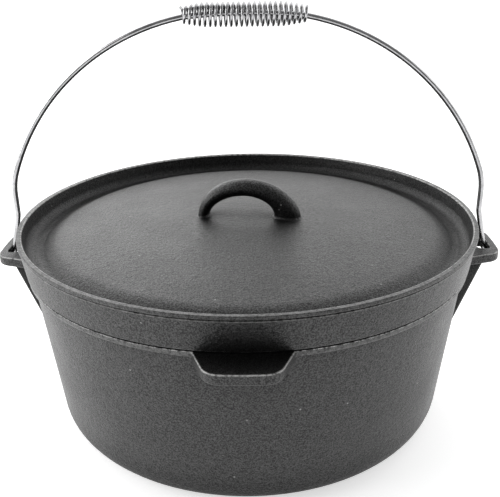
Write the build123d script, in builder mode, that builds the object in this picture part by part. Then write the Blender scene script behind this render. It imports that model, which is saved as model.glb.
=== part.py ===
from build123d import *
from itertools import product
from math import cos, pi, radians, sin
import os

# Cast iron dutch oven: a pot with four cast lugs, a flanged lid with a loop handle,
# a steel bail wire hooked under the two side lugs, and a coil grip on the wire.
# Origin at the centre of the flat base, +Z up, lengths in millimetres.

# ---- overall heights and radii ----
POT_RIM_Z = 168.0  # top of the pot's own rim, hidden inside the lid's skirt
LID_TOP_Z = 190.0  # top of the lid's upturned edge
BASE_R = 182.3  # wall cone where it would meet the base plane
WALL_TOP_R = 200.0  # wall cone just under the ledge
WALL = 5.0  # cast wall thickness
BASE_ROUND = 27.0  # outer radius between base and wall

# ---- ledge round the pot and the four lugs cast on it ----
LEDGE_TOP_Z = 157.2
LEDGE_H = 5.4
LEDGE_R = 203.8
LEDGE_ROUND = 2.6  # under the ledge
EDGE_ROUND = 1.2  # top edges of the ledge and the lugs
LUG_H = 9.0
LUG_ROUND = 2.0  # bottom edges of the lugs
EAR_REACH = 235.5  # bail ears, along X
TAB_REACH = 232.0  # assist tabs, along Y
TAB_ROOT_HALF = 41.0
TAB_TIP_HALF = 26.0
EAR_ROOT_HALF = 43.0
EAR_TIP_HALF = 28.5
EAR_SHIFT = 4.5  # the ears are centred a little behind the bail's hinge line
LUG_ROOT_R = 190.0
LUG_BOW = 1.4  # how far the outer edge of a lug bows outward
LUG_CORNER = 15.0
LUG_BLEND = 11.0  # concave radius where a lug leaves the ledge

# ---- bail ears: oval hole, foot groove and two ribs under each ----
HOLE_X = 222.6
HOLE_HALF_X = 6.0
HOLE_HALF_Y = 12.8
HOLE_CORNER = 4.6
HOLE_LIP = 1.4  # rounding of the hole's upper edge
RIB_Y = 17.6
RIB_T = 6.5
RIB_FOOT_Z = 60.0
RIB_TOP_X = 221.0
RIB_ROUND = 1.4

# ---- lid ----
LID_R = 210.0
LIP_H = 3.2
LIP_GROOVE_H = 1.4
LIP_GROOVE_D = 1.2
SKIRT_TOP_R = 209.0
SKIRT_LOW_R = 204.8
SKIRT_LOW_Z = 158.7
SKIRT_INNER_R = 201.0
LID_SEAT_GAP = 0.3
LID_INNER_R = 205.5
VALLEY_Z = 173.0
VALLEY_OUT_R = 202.2
VALLEY_IN_R = 190.0
DOME_EDGE_R = 175.0
DOME_EDGE_Z = 179.4
DOME_TOP_Z = 187.2
CROWN_R = 12.0  # the very middle of the dome is flat
DOME_ROUND = 25.0
VALLEY_IN_ROUND = 12.0
VALLEY_OUT_ROUND = 8.0
LID_EDGE_ROUND = 0.9
LID_T = 4.7

# ---- lid handle: a low loop, thicker at one foot ----
LOOP_TURN = -6.0  # the lid sits turned a little on the pot
LOOP_X0 = -1.75
LOOP_HALF = 40.0
LOOP_FOOT_Z = 184.0
LOOP_RISE = 30.8
LOOP_DEPTH = 9.5  # half depth of the section, across the loop
LOOP_FOOT_ROUND = 2.0
LOOP_THICK = [4.9, 5.7, 6.8, 7.6, 8.0, 8.5, 9.4, 11.2, 12.4]  # half thickness, foot to foot

# ---- bail wire ----
WIRE_R = 2.5
CROWN_Z = 370.2  # top of the wire's centre line, inside the grip
CROWN_R_WIRE = 465.0
CROWN_A = 6.5
BEND_R = 18.0
BEND_A = 4.5
ARCH_R = 212.7
ARCH_A = 59.0
SHOULDER_R = 60.0
LEG_TOP_DROP = 18.0
LEG_TILT = 12.0
LEG_BEND_R = 20.0
FOOT_Z = 151.0
FOOT_BEND_R = 5.0
FOOT_END_X = 232.0
GROOVE_CLEAR = 0.4

# ---- coil grip ----
COIL_WIRE_R = 1.35
COIL_Z = 368.9  # axis of the grip
COIL_R = 9.3  # centre line radius of the barrel
COIL_END_R = 5.9  # centre line radius at the two ends
COIL_HALF = 53.6  # half length of the wire's centre line
COIL_TURNS = 24
COIL_TAPER = 22.0  # length of each tapering end
COIL_TAPER_CURVE = 1.3
COIL_STEPS = 8  # spline points in each turn

os.makedirs("parts", exist_ok=True)


def radius_of(point):
    """Distance of a point from the pot's axis, seen from above."""
    return (point.X**2 + point.Y**2) ** 0.5


# ---- pot: outer form first, then lugs and ribs, then the cavity and the holes are cut ----
ledge_low_z = LEDGE_TOP_Z - LEDGE_H
lug_low_z = LEDGE_TOP_Z - LUG_H
wall_slope = (WALL_TOP_R - BASE_R) / ledge_low_z
lug_ring_r = BASE_R + wall_slope * lug_low_z - 0.2
ear = (EAR_REACH, EAR_ROOT_HALF, EAR_TIP_HALF)
tab = (TAB_REACH, TAB_ROOT_HALF, TAB_TIP_HALF)
lugs = [(0, EAR_SHIFT, *ear), (90, 0, *tab), (180, -EAR_SHIFT, *ear), (270, 0, *tab)]


def lug_outline(ring_r, plane):
    """A disc with the four lugs on it, their roots blended and their corners rounded."""
    with BuildSketch(plane) as outline:
        Circle(ring_r)
        for turn, mid, reach, root_half, tip_half in lugs:
            with BuildLine(Plane.XY.rotated((0, 0, turn))):
                side = Line((LUG_ROOT_R, mid - root_half), (reach - LUG_BOW, mid - tip_half))
                tip = ThreePointArc(side @ 1, (reach, mid), (reach - LUG_BOW, mid + tip_half))
                back = Line(tip @ 1, (LUG_ROOT_R, mid + root_half))
                Line(back @ 1, side @ 0)
            make_face()
        corners = [v for v in outline.vertices() if radius_of(v) > TAB_REACH - LUG_BOW]
        fillet(corners, LUG_CORNER)
        roots = [v for v in outline.vertices() if radius_of(v) < ring_r + 0.5]
        fillet(roots, LUG_BLEND)
    return outline.sketch


# round sections are drawn between the lugs, so that no seam of the wall crosses a lug
section_plane = Plane(origin=(0, 0, 0), x_dir=(1, 1, 0), z_dir=(1, -1, 0))

# the four lugs as one slab, its middle hidden in the pot's wall
with BuildPart() as lug_slab:
    extrude(lug_outline(lug_ring_r, Plane.XY.offset(lug_low_z)), amount=LUG_H)
    lug_bottom = lug_slab.edges().group_by(Axis.Z)[0]
    fillet([e for e in lug_bottom if radius_of(e @ 0.5) > lug_ring_r + 1], LUG_ROUND)
    lug_top = lug_slab.edges().group_by(Axis.Z)[-1]
    fillet([e for e in lug_top if radius_of(e @ 0.5) > lug_ring_r + 1], EDGE_ROUND)

with BuildPart() as pot:
    with BuildSketch(section_plane) as pot_section:
        with BuildLine():
            Polyline(
                (0, 0),
                (BASE_R, 0),
                (WALL_TOP_R, ledge_low_z),
                (LEDGE_R, ledge_low_z),
                (LEDGE_R, LEDGE_TOP_Z),
                (WALL_TOP_R, LEDGE_TOP_Z),
                (WALL_TOP_R, POT_RIM_Z),
                (0, POT_RIM_Z),
                close=True,
            )
        make_face()
        base_corner = pot_section.vertices().group_by(Axis.Y)[0].sort_by(Axis.X)[-1]
        fillet(base_corner, BASE_ROUND)
        ledge_corners = pot_section.vertices().group_by(Axis.X)[-1].sort_by(Axis.Y)
        fillet(ledge_corners[0], LEDGE_ROUND)
        fillet(ledge_corners[-1], EDGE_ROUND)
    revolve(axis=Axis.Z)
    add(lug_slab.part)

    # two ribs under each bail ear, one each side of its hole
    for side_x, side_y in product((-1, 1), (-RIB_Y, RIB_Y)):
        with BuildSketch(Plane.XZ.offset(-side_y)):
            with BuildLine():
                Polyline(
                    (side_x * (BASE_R + wall_slope * RIB_FOOT_Z - WALL / 2), RIB_FOOT_Z),
                    (side_x * RIB_TOP_X, lug_low_z + 1),
                    (side_x * (WALL_TOP_R - WALL / 2), lug_low_z + 1),
                    close=True,
                )
            make_face()
        extrude(amount=RIB_T / 2, both=True)
    rib_edges = [
        e
        for e in pot.edges().filter_by(GeomType.LINE)
        if abs(abs((e @ 0.5).Y) - RIB_Y) < RIB_T and RIB_FOOT_Z < (e @ 0.5).Z < lug_low_z
        and radius_of(e @ 0.5) > WALL_TOP_R + 1
    ]
    fillet(rib_edges, RIB_ROUND)

    # cavity: the inner wall runs parallel to the outer one
    with BuildSketch(section_plane) as cavity:
        with BuildLine():
            Polyline(
                (0, WALL),
                (BASE_R + wall_slope * WALL - WALL, WALL),
                (WALL_TOP_R - WALL, ledge_low_z),
                (WALL_TOP_R - WALL, POT_RIM_Z + 1),
                (0, POT_RIM_Z + 1),
                close=True,
            )
        make_face()
        floor_corner = cavity.vertices().group_by(Axis.Y)[0].sort_by(Axis.X)[-1]
        fillet(floor_corner, BASE_ROUND - WALL)
    revolve(axis=Axis.Z, mode=Mode.SUBTRACT)
    rim_edges = pot.edges().filter_by_position(Axis.Z, POT_RIM_Z, POT_RIM_Z)
    fillet(rim_edges, EDGE_ROUND)

    # oval hole through each bail ear, its upper edge rounded
    with BuildSketch(Plane.XY.offset(LEDGE_TOP_Z)):
        with Locations((-HOLE_X, 0), (HOLE_X, 0)):
            RectangleRounded(2 * HOLE_HALF_X, 2 * HOLE_HALF_Y, HOLE_CORNER)
    extrude(amount=-LUG_H, mode=Mode.SUBTRACT)
    lip_edges = pot.edges(Select.LAST).filter_by_position(Axis.Z, LEDGE_TOP_Z, LEDGE_TOP_Z)
    fillet(lip_edges, HOLE_LIP)

    # groove under the outer bar of each ear, where the bail's foot turns
    for side_x in (-1, 1):
        with BuildSketch(Plane.YZ.offset(side_x * HOLE_X)):
            with Locations((0, FOOT_Z)):
                Circle(WIRE_R + GROOVE_CLEAR)
            with Locations((0, FOOT_Z - LUG_H / 2)):
                Rectangle(2 * (WIRE_R + GROOVE_CLEAR), LUG_H)
        extrude(amount=side_x * (FOOT_END_X + GROOVE_CLEAR - HOLE_X), mode=Mode.SUBTRACT)

pot.part.label = "pot"
export_step(pot.part, "parts/pot.step")

# ---- lid: a shallow dome in a valley, an upturned lip and a skirt round the pot's rim ----
seat_z = POT_RIM_Z + LID_SEAT_GAP
lip_low_z = LID_TOP_Z - LIP_H
dome_drop = DOME_TOP_Z - DOME_EDGE_Z

with BuildPart() as lid:
    with BuildSketch(section_plane) as lid_section:
        with BuildLine():
            crown = Line((0, DOME_TOP_Z), (CROWN_R, DOME_TOP_Z))
            dome = ThreePointArc(
                crown @ 1,
                (DOME_EDGE_R / 2, DOME_TOP_Z - dome_drop / 4),
                (DOME_EDGE_R, DOME_EDGE_Z),
            )
            edge = Polyline(
                dome @ 1,
                (VALLEY_IN_R, VALLEY_Z),
                (VALLEY_OUT_R, VALLEY_Z),
                (LID_INNER_R, LID_TOP_Z),
                (LID_R, LID_TOP_Z),
                (LID_R, lip_low_z),
                (SKIRT_TOP_R - LIP_GROOVE_D, lip_low_z),
                (SKIRT_TOP_R, lip_low_z - LIP_GROOVE_H),
                (SKIRT_LOW_R, SKIRT_LOW_Z),
                (SKIRT_INNER_R, SKIRT_LOW_Z),
                (SKIRT_INNER_R, seat_z),
                (VALLEY_IN_R - LID_T / 2, seat_z),
                (DOME_EDGE_R - LID_T / 2, DOME_EDGE_Z - LID_T),
            )
            under = ThreePointArc(
                edge @ 1,
                (DOME_EDGE_R / 2, DOME_TOP_Z - LID_T - dome_drop / 4),
                (CROWN_R, DOME_TOP_Z - LID_T),
            )
            Polyline(under @ 1, (0, DOME_TOP_Z - LID_T), crown @ 0)
        make_face()

        def corner(r, z):
            """The section's corner nearest to radius r and height z."""
            return lid_section.vertices().sort_by_distance((r, z, 0))[0]

        fillet(corner(DOME_EDGE_R, DOME_EDGE_Z), DOME_ROUND)
        fillet(corner(VALLEY_IN_R, VALLEY_Z), VALLEY_IN_ROUND)
        fillet(corner(VALLEY_OUT_R, VALLEY_Z), VALLEY_OUT_ROUND)
        fillet(corner(VALLEY_IN_R - LID_T / 2, seat_z), VALLEY_IN_ROUND)
        fillet(corner(DOME_EDGE_R - LID_T / 2, DOME_EDGE_Z - LID_T), DOME_ROUND)
        fillet(corner(LID_INNER_R, LID_TOP_Z), EDGE_ROUND)
        fillet(corner(LID_R, LID_TOP_Z), LID_EDGE_ROUND)
        fillet(corner(LID_R, lip_low_z), LID_EDGE_ROUND)
        fillet(corner(SKIRT_LOW_R, SKIRT_LOW_Z), LID_EDGE_ROUND)
        fillet(corner(SKIRT_INNER_R, SKIRT_LOW_Z), LID_EDGE_ROUND)
    revolve(axis=Axis.Z)

    # the loop handle: oval sections square to a half ellipse that stands on the dome
    forward = Vector(1, 0, 0).rotate(Axis.Z, LOOP_TURN)
    across = Vector(0, 1, 0).rotate(Axis.Z, LOOP_TURN)
    for i, thick in enumerate(LOOP_THICK):
        angle = pi * i / (len(LOOP_THICK) - 1)
        centre = forward * (LOOP_X0 - LOOP_HALF * cos(angle))
        centre += Vector(0, 0, LOOP_FOOT_Z + LOOP_RISE * sin(angle))
        heading = forward * (LOOP_HALF * sin(angle)) + Vector(0, 0, LOOP_RISE * cos(angle))
        with BuildSketch(Plane(origin=centre, x_dir=across, z_dir=heading)):
            with BuildLine():
                EllipticalCenterArc((0, 0), LOOP_DEPTH, thick, -90, arc_size=180)
                EllipticalCenterArc((0, 0), LOOP_DEPTH, thick, 90, arc_size=180)
            make_face()
    loft()
    feet = [
        e
        for e in lid.edges()
        if radius_of(e @ 0.5) < 2 * LOOP_HALF and DOME_EDGE_Z < (e @ 0.5).Z < DOME_TOP_Z
    ]
    fillet([e for e in feet if e.length > LOOP_DEPTH], LOOP_FOOT_ROUND)

lid.part.label = "lid"
export_step(lid.part, "parts/lid.step")

# ---- bail wire: nearly straight in the grip, arched to the sides, feet turned out under the ears ----
foot_turn = 90 - LEG_TILT
heel_z = FOOT_Z + FOOT_BEND_R * (1 - cos(radians(foot_turn)))

with BuildPart() as bail_wire:
    with BuildLine(Plane.XZ) as wire_path:
        crown = JernArc((0, CROWN_Z), (1, 0), CROWN_R_WIRE, -CROWN_A)
        bend = JernArc(crown @ 1, crown % 1, BEND_R, -BEND_A)
        arch = JernArc(bend @ 1, bend % 1, ARCH_R, -ARCH_A)
        shoulder = JernArc(arch @ 1, arch % 1, SHOULDER_R, CROWN_A + BEND_A + ARCH_A - 90)
        drop = Line(shoulder @ 1, (shoulder @ 1) - Vector(0, 0, LEG_TOP_DROP))
        flare = JernArc(drop @ 1, drop % 1, LEG_BEND_R, LEG_TILT)
        leg_length = ((flare @ 1).Z - heel_z) / cos(radians(LEG_TILT))
        leg = Line(flare @ 1, (flare @ 1) + (flare % 1) * leg_length)
        heel = JernArc(leg @ 1, leg % 1, FOOT_BEND_R, foot_turn)
        Line(heel @ 1, (FOOT_END_X, FOOT_Z))
        mirror(about=Plane.YZ)
    with BuildSketch(Plane.YZ.offset(-FOOT_END_X)):
        with Locations((0, FOOT_Z)):
            Circle(WIRE_R)
    sweep(path=wire_path.wires()[0])

bail_wire.part.label = "bail_wire"
export_step(bail_wire.part, "parts/bail_wire.step")

# ---- coil grip: a spring whose ends narrow to hug the bail ----
coil_steps = COIL_TURNS * COIL_STEPS
coil_line_points = []
for i in range(coil_steps + 1):
    share = i / coil_steps
    x = COIL_HALF * (2 * share - 1)
    into_taper = max(0, abs(x) - COIL_HALF + COIL_TAPER) / COIL_TAPER
    r = COIL_R - (COIL_R - COIL_END_R) * into_taper**COIL_TAPER_CURVE
    angle = 2 * pi * COIL_TURNS * share
    coil_line_points.append((x, r * sin(angle), COIL_Z + r * cos(angle)))

with BuildPart() as coil_grip:
    with BuildLine() as coil_line:
        strand = Spline(*coil_line_points)
    with BuildSketch(Plane(origin=strand @ 0, z_dir=strand % 0)):
        Circle(COIL_WIRE_R)
    sweep(path=coil_line.line, is_frenet=True)

coil_grip.part.label = "coil_grip"
export_step(coil_grip.part, "parts/coil_grip.step")
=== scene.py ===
import math

import bpy
from mathutils import Matrix, Vector


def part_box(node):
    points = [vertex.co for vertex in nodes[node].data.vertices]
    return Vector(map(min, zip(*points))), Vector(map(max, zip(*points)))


# Cast iron dutch oven with a steel bail, standing on a pale studio floor.
# Metres throughout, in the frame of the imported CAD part.

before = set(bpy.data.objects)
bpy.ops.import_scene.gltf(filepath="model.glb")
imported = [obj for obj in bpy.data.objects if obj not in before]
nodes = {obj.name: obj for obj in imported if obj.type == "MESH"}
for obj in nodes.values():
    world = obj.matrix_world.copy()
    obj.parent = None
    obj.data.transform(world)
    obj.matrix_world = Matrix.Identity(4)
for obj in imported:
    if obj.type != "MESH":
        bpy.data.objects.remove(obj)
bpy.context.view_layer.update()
scene = bpy.context.scene


# ---- small node-building helpers ----


class Nodes:
    """A material's node tree with short calls for the nodes used here."""

    def __init__(self, name):
        self.material = bpy.data.materials.new(name)
        self.material.use_nodes = True
        self.tree = self.material.node_tree
        self.tree.nodes.clear()
        self.coords = self.add("ShaderNodeTexCoord").outputs["Object"]

    def add(self, kind, **settings):
        node = self.tree.nodes.new(kind)
        for key, value in settings.items():
            setattr(node, key, value)
        return node

    def feed(self, socket, value):
        if isinstance(value, bpy.types.NodeSocket):
            self.tree.links.new(value, socket)
        else:
            socket.default_value = value

    def math(self, operation, a, b=0.0, clamp=False):
        node = self.add("ShaderNodeMath", operation=operation, use_clamp=clamp)
        self.feed(node.inputs[0], a)
        self.feed(node.inputs[1], b)
        return node.outputs[0]

    def spread(self, value, low, high, to_low=0.0, to_high=1.0, smooth=True):
        """value mapped from low..high to to_low..to_high, clamped."""
        node = self.add("ShaderNodeMapRange")
        node.interpolation_type = "SMOOTHSTEP" if smooth else "LINEAR"
        for socket, v in zip(node.inputs, (value, low, high, to_low, to_high)):
            self.feed(socket, v)
        return node.outputs[0]

    def stretched(self, scale=(1, 1, 1), move=(0, 0, 0)):
        node = self.add("ShaderNodeMapping")
        self.feed(node.inputs["Vector"], self.coords)
        node.inputs["Scale"].default_value = scale
        node.inputs["Location"].default_value = move
        return node.outputs[0]

    def noise(self, size, detail=3.0, rough=0.5, vector=None):
        """Noise whose features are about size metres across."""
        node = self.add("ShaderNodeTexNoise")
        self.feed(node.inputs["Vector"], vector or self.coords)
        node.inputs["Scale"].default_value = 1 / size
        node.inputs["Detail"].default_value = detail
        node.inputs["Roughness"].default_value = rough
        return node.outputs["Fac"]

    def cells(self, size, vector):
        """Cells about size metres across, each with its own colour and distance from its middle."""
        node = self.add("ShaderNodeTexVoronoi")
        self.feed(node.inputs["Vector"], vector)
        node.inputs["Scale"].default_value = 1 / size
        return node

    def ramp(self, value, *stops):
        """Colours along a ramp: stops are (position, grey or colour)."""
        node = self.add("ShaderNodeValToRGB")
        self.feed(node.inputs[0], value)
        elements = node.color_ramp.elements
        while len(elements) < len(stops):
            elements.new(0.5)
        for element, (at, colour) in zip(elements, stops):
            element.position = at
            grey = isinstance(colour, (int, float))
            element.color = (colour,) * 3 + (1,) if grey else (*colour, 1)
        return node.outputs["Color"]

    def blend(self, share, a, b, mode="MIX"):
        node = self.add("ShaderNodeMix", data_type="RGBA", blend_type=mode)
        self.feed(node.inputs[0], share)
        for socket, v in ((node.inputs[6], a), (node.inputs[7], b)):
            self.feed(socket, v if isinstance(v, bpy.types.NodeSocket) else (*v, 1))
        return node.outputs[2]

    def bump(self, height, distance, strength=1.0, below=None):
        node = self.add("ShaderNodeBump")
        self.feed(node.inputs["Height"], height)
        node.inputs["Distance"].default_value = distance
        node.inputs["Strength"].default_value = strength
        if below is not None:
            self.feed(node.inputs["Normal"], below)
        return node.outputs["Normal"]

    def finish(self, **sockets):
        shader = self.add("ShaderNodeBsdfPrincipled")
        for name, value in sockets.items():
            self.feed(shader.inputs[name.replace("_", " ")], value)
        output = self.add("ShaderNodeOutputMaterial")
        self.tree.links.new(shader.outputs[0], output.inputs["Surface"])
        return self.material


# ---- cast iron: seasoned black, fine cast grain, worn bright along the edges ----


def cast_iron(name, seed, highlight_rings, crest_z):
    """Rings are painted highlight lines, broken up like wear, each a radius, a height, a half width
    and a strength.

    crest_z is the height of a painted highlight along an upper edge, or 0 for none.
    """
    n = Nodes(name)
    moved = n.stretched(move=(seed, seed * 0.7, -seed))
    split = n.add("ShaderNodeSeparateXYZ")
    n.feed(split.inputs[0], n.coords)
    x, y, z = split.outputs
    r = n.math("SQRT", n.math("ADD", n.math("MULTIPLY", x, x), n.math("MULTIPLY", y, y)))

    grain = n.noise(0.0019, 3.0, 0.65, moved)
    fine = n.noise(0.0011, 2.0, 0.6, moved)
    pits = n.cells(0.0042, moved)
    swell = n.noise(0.011, 3.0, 0.5, moved)
    cloud = n.noise(0.06, 4.0, 0.6, moved)
    broken = n.spread(n.noise(0.0035, 3.0, 0.6, moved), 0.34, 0.60)

    # wear and painted highlight where two faces meet, found from rounded normals
    rounded = n.add("ShaderNodeBevel", samples=6)
    rounded.inputs["Radius"].default_value = 0.0018
    facing = n.add("ShaderNodeVectorMath", operation="DOT_PRODUCT")
    geometry = n.add("ShaderNodeNewGeometry")
    n.feed(facing.inputs[0], rounded.outputs[0])
    n.feed(facing.inputs[1], geometry.outputs["Normal"])
    corner = n.math("MULTIPLY", n.spread(facing.outputs["Value"], 0.994, 0.94), broken)
    wear_and_highlight = n.math("MULTIPLY", corner, 0.30)

    # thin painted highlight lines along the turned rims, broken up like wear
    for ring_r, ring_z, width, strength in highlight_rings:
        off_r = n.math("ABSOLUTE", n.math("SUBTRACT", r, ring_r))
        off_z = n.math("ABSOLUTE", n.math("SUBTRACT", z, ring_z))
        near = n.spread(n.math("MAXIMUM", off_r, off_z), width, width * 0.4)
        ring_highlight = n.math("MULTIPLY", n.math("MULTIPLY", near, strength), n.math("ADD", broken, 0.3))
        wear_and_highlight = n.math("MAXIMUM", wear_and_highlight, ring_highlight)

    # painted highlight along the rounded upper edge of the ledge and lugs, where it faces up, broken
    # up in places
    tilt = n.add("ShaderNodeSeparateXYZ")
    n.feed(tilt.inputs[0], geometry.outputs["Normal"])
    up = tilt.outputs[2]
    sloped = n.math("MULTIPLY", n.spread(up, 0.25, 0.50), n.spread(up, 0.99, 0.90))
    sloped = n.math("MAXIMUM", sloped, corner)
    high = n.spread(n.math("ABSOLUTE", n.math("SUBTRACT", z, crest_z)), 0.0020, 0.0011)
    crest_highlight = n.math("MULTIPLY", n.math("MULTIPLY", sloped, high), n.math("ADD", broken, 0.25))
    wear_and_highlight = n.math("MAXIMUM", wear_and_highlight, crest_highlight, clamp=True)

    # painted glints: rare bright flecks in the base colour
    glint_cells = n.cells(0.009, moved)
    painted_glint = n.spread(glint_cells.outputs["Distance"], 0.11, 0.05)
    rare = n.spread(n.math("FRACT", n.math("MULTIPLY", glint_cells.outputs["Color"], 7.3)), 0.90, 0.93)
    painted_glint = n.math("MULTIPLY", painted_glint, rare)

    base = n.ramp(cloud, (0.30, 0.0035), (0.70, 0.0070))
    base = n.blend(n.spread(fine, 0.56, 0.72, 0.0, 0.6), base, (0.040, 0.040, 0.040))
    # edges and rim lines lightened in the base colour: wear and painted highlight
    base = n.blend(n.math("MULTIPLY", wear_and_highlight, 0.75), base, (0.55, 0.55, 0.54))
    base = n.blend(n.math("MULTIPLY", painted_glint, 0.6), base, (0.40, 0.40, 0.39))

    rough = n.spread(n.math("ADD", cloud, n.math("MULTIPLY", grain, 0.4)), 0.4, 1.0, 0.29, 0.44, False)
    rough = n.math("SUBTRACT", rough, n.math("MULTIPLY", wear_and_highlight, 0.08))

    # shine differs from grain to grain, and painted shade dims the reflections in sheltered places
    # found by ambient occlusion
    occlusion_shade = n.add("ShaderNodeAmbientOcclusion", samples=4)
    occlusion_shade.inputs["Distance"].default_value = 0.045
    shine = n.spread(n.noise(0.0012, 2.0, 0.6, moved), 0.34, 0.66, 0.20, 0.76)
    shine = n.math("MULTIPLY", shine, n.spread(occlusion_shade.outputs["AO"], 0.45, 0.97, 0.12, 1.0))

    normal = n.bump(swell, 0.00045, 0.55)
    normal = n.bump(pits.outputs["Distance"], 0.00040, 0.50, normal)
    normal = n.bump(grain, 0.00055, 1.0, normal)
    normal = n.bump(fine, 0.00030, 1.0, normal)
    return n.finish(
        Base_Color=base,
        Metallic=0.0,
        Roughness=rough,
        Normal=normal,
        IOR=1.55,
        Specular_IOR_Level=shine,
    )


def bright_wire(name, colour, rough, along):
    """Drawn steel: fine lines along the wire, faint dark marks and a little uneven shine."""
    n = Nodes(name)
    lines = n.noise(0.0007, 3.0, 0.6, n.stretched(scale=along))
    marks = n.noise(0.018, 4.0, 0.6)
    shade = n.ramp(marks, (0.35, tuple(c * 0.72 for c in colour)), (0.6, colour))
    shade = n.blend(n.spread(lines, 0.55, 0.72, 0.0, 0.5), shade, tuple(c * 0.45 for c in colour))
    roughness = n.spread(marks, 0.3, 0.7, rough, rough + 0.12, False)
    normal = n.bump(lines, 0.00005, 0.5)
    return n.finish(Base_Color=shade, Metallic=1.0, Roughness=roughness, Normal=normal)


def dress(node, material):
    mesh = nodes[node].data
    mesh.materials.clear()
    mesh.materials.append(material)
    mesh.shade_smooth()


# heights from the pot's own rim, which the lid's skirt hides
LID_EDGE_ABOVE_RIM = 0.022
LEDGE_BELOW_RIM = 0.0108
LEDGE_MIDDLE_DOWN = 0.0027
NO_CREST = 0.0

lid_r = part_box("lid")[1].x
pot_rim_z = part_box("pot")[1].z
rim_z = pot_rim_z + LID_EDGE_ABOVE_RIM
ledge_z = pot_rim_z - LEDGE_BELOW_RIM
# painted highlight lines along the lid's rim and the pot's ledge
rim_highlight_lines = [
    (lid_r - 0.0020, rim_z, 0.0022, 0.16),
    (lid_r - 0.0042, rim_z - 0.0004, 0.0009, 0.75),
    (lid_r - 0.0013, rim_z - 0.0048, 0.0008, 0.18),
]
ledge_highlight_line = (lid_r - 0.0065, ledge_z - LEDGE_MIDDLE_DOWN, 0.0030, 0.13)
dress("pot", cast_iron("cast_iron_pot", 3.1, [ledge_highlight_line], ledge_z))
dress("lid", cast_iron("cast_iron_lid", 7.7, rim_highlight_lines, NO_CREST))
dress("bail_wire", bright_wire("bail_steel", (0.50, 0.50, 0.51), 0.16, (0.2, 1, 0.2)))
dress("coil_grip", bright_wire("coil_steel", (0.46, 0.46, 0.47), 0.09, (1, 1, 1)))

# ---- floor, light and camera ----

floor_mesh = bpy.data.meshes.new("floor")
half = 6.0
floor_corners = [(-half, -half, 0), (half, -half, 0), (half, half, 0), (-half, half, 0)]
floor_mesh.from_pydata(floor_corners, [], [(0, 1, 2, 3)])
floor = bpy.data.objects.new("floor", floor_mesh)
scene.collection.objects.link(floor)
paper = Nodes("floor_paper")
tone = paper.noise(0.4, 2.0)
floor_mesh.materials.append(
    paper.finish(
        Base_Color=paper.ramp(tone, (0.3, 0.88), (0.7, 0.90)),
        Roughness=0.8,
        Emission_Color=(1, 1, 1, 1),
        Emission_Strength=0.60,
    )
)

# the room lights the oven brightly from behind and dimly from in front; the camera sees it white
world = bpy.data.worlds.new("studio")
world.use_nodes = True
scene.world = world
room = world.node_tree
direction = room.nodes.new("ShaderNodeTexCoord")
split = room.nodes.new("ShaderNodeSeparateXYZ")
depth = room.nodes.new("ShaderNodeMapRange")
depth.interpolation_type = "SMOOTHSTEP"
FRONT, BACK = -0.10, 0.50  # how far a direction leans back where the dim and the bright part begin
DIM, BRIGHT = 0.22, 1.6
for socket, value in zip(depth.inputs[1:5], (FRONT, BACK, DIM, BRIGHT)):
    socket.default_value = value
seen = room.nodes.new("ShaderNodeLightPath")
either = room.nodes.new("ShaderNodeMath")
either.operation = "MAXIMUM"
room.links.new(direction.outputs["Generated"], split.inputs[0])
room.links.new(split.outputs["Y"], depth.inputs[0])
room.links.new(depth.outputs[0], either.inputs[0])
room.links.new(seen.outputs["Is Camera Ray"], either.inputs[1])
background = room.nodes["Background"]
background.inputs["Color"].default_value = (1, 1, 1, 1)
room.links.new(either.outputs[0], background.inputs["Strength"])
scene.view_settings.view_transform = "Standard"


def softbox(name, place, target, size, watts):
    """A rectangular area light at place, facing target."""
    light = bpy.data.lights.new(name, "AREA")
    light.shape = "RECTANGLE"
    light.size, light.size_y = size
    light.energy = watts
    lamp = bpy.data.objects.new(name, light)
    scene.collection.objects.link(lamp)
    lamp.location = place
    lamp.rotation_mode = "QUATERNION"
    lamp.rotation_quaternion = (Vector(target) - Vector(place)).to_track_quat("-Z", "Y")


softbox("key_left", (-1.6, -0.4, 0.9), (0, 0, 0.12), (1.2, 1.4), 20)
softbox("fill_right", (1.7, -0.1, 0.8), (0, 0, 0.12), (0.9, 1.2), 5)
softbox("back_left", (-1.3, 2.1, 1.2), (0, 0, 0.15), (1.8, 1.4), 11)

view_height = math.radians(22.566)
view_turn = math.radians(1.1)
view_roll = math.radians(-0.8815)
view_distance = 0.714
look_at = Vector((0.0021, 0, 0.15315))
ahead = Vector((0, math.cos(view_height), -math.sin(view_height)))
right = Vector((1, 0, 0))
up = right.cross(ahead)
across = right * math.cos(view_roll) + up * math.sin(view_roll)
upward = up * math.cos(view_roll) - right * math.sin(view_roll)
eye = look_at - ahead * view_distance
stand = Matrix.Rotation(view_turn, 4, "Z")
axes = Matrix((across, upward, -ahead)).transposed().to_4x4()
camera = bpy.data.objects.new("camera", bpy.data.cameras.new("camera"))
scene.collection.objects.link(camera)
camera.matrix_world = stand @ Matrix.Translation(eye) @ axes
camera.data.sensor_width = 36
camera.data.lens = 53.47
scene.camera = camera
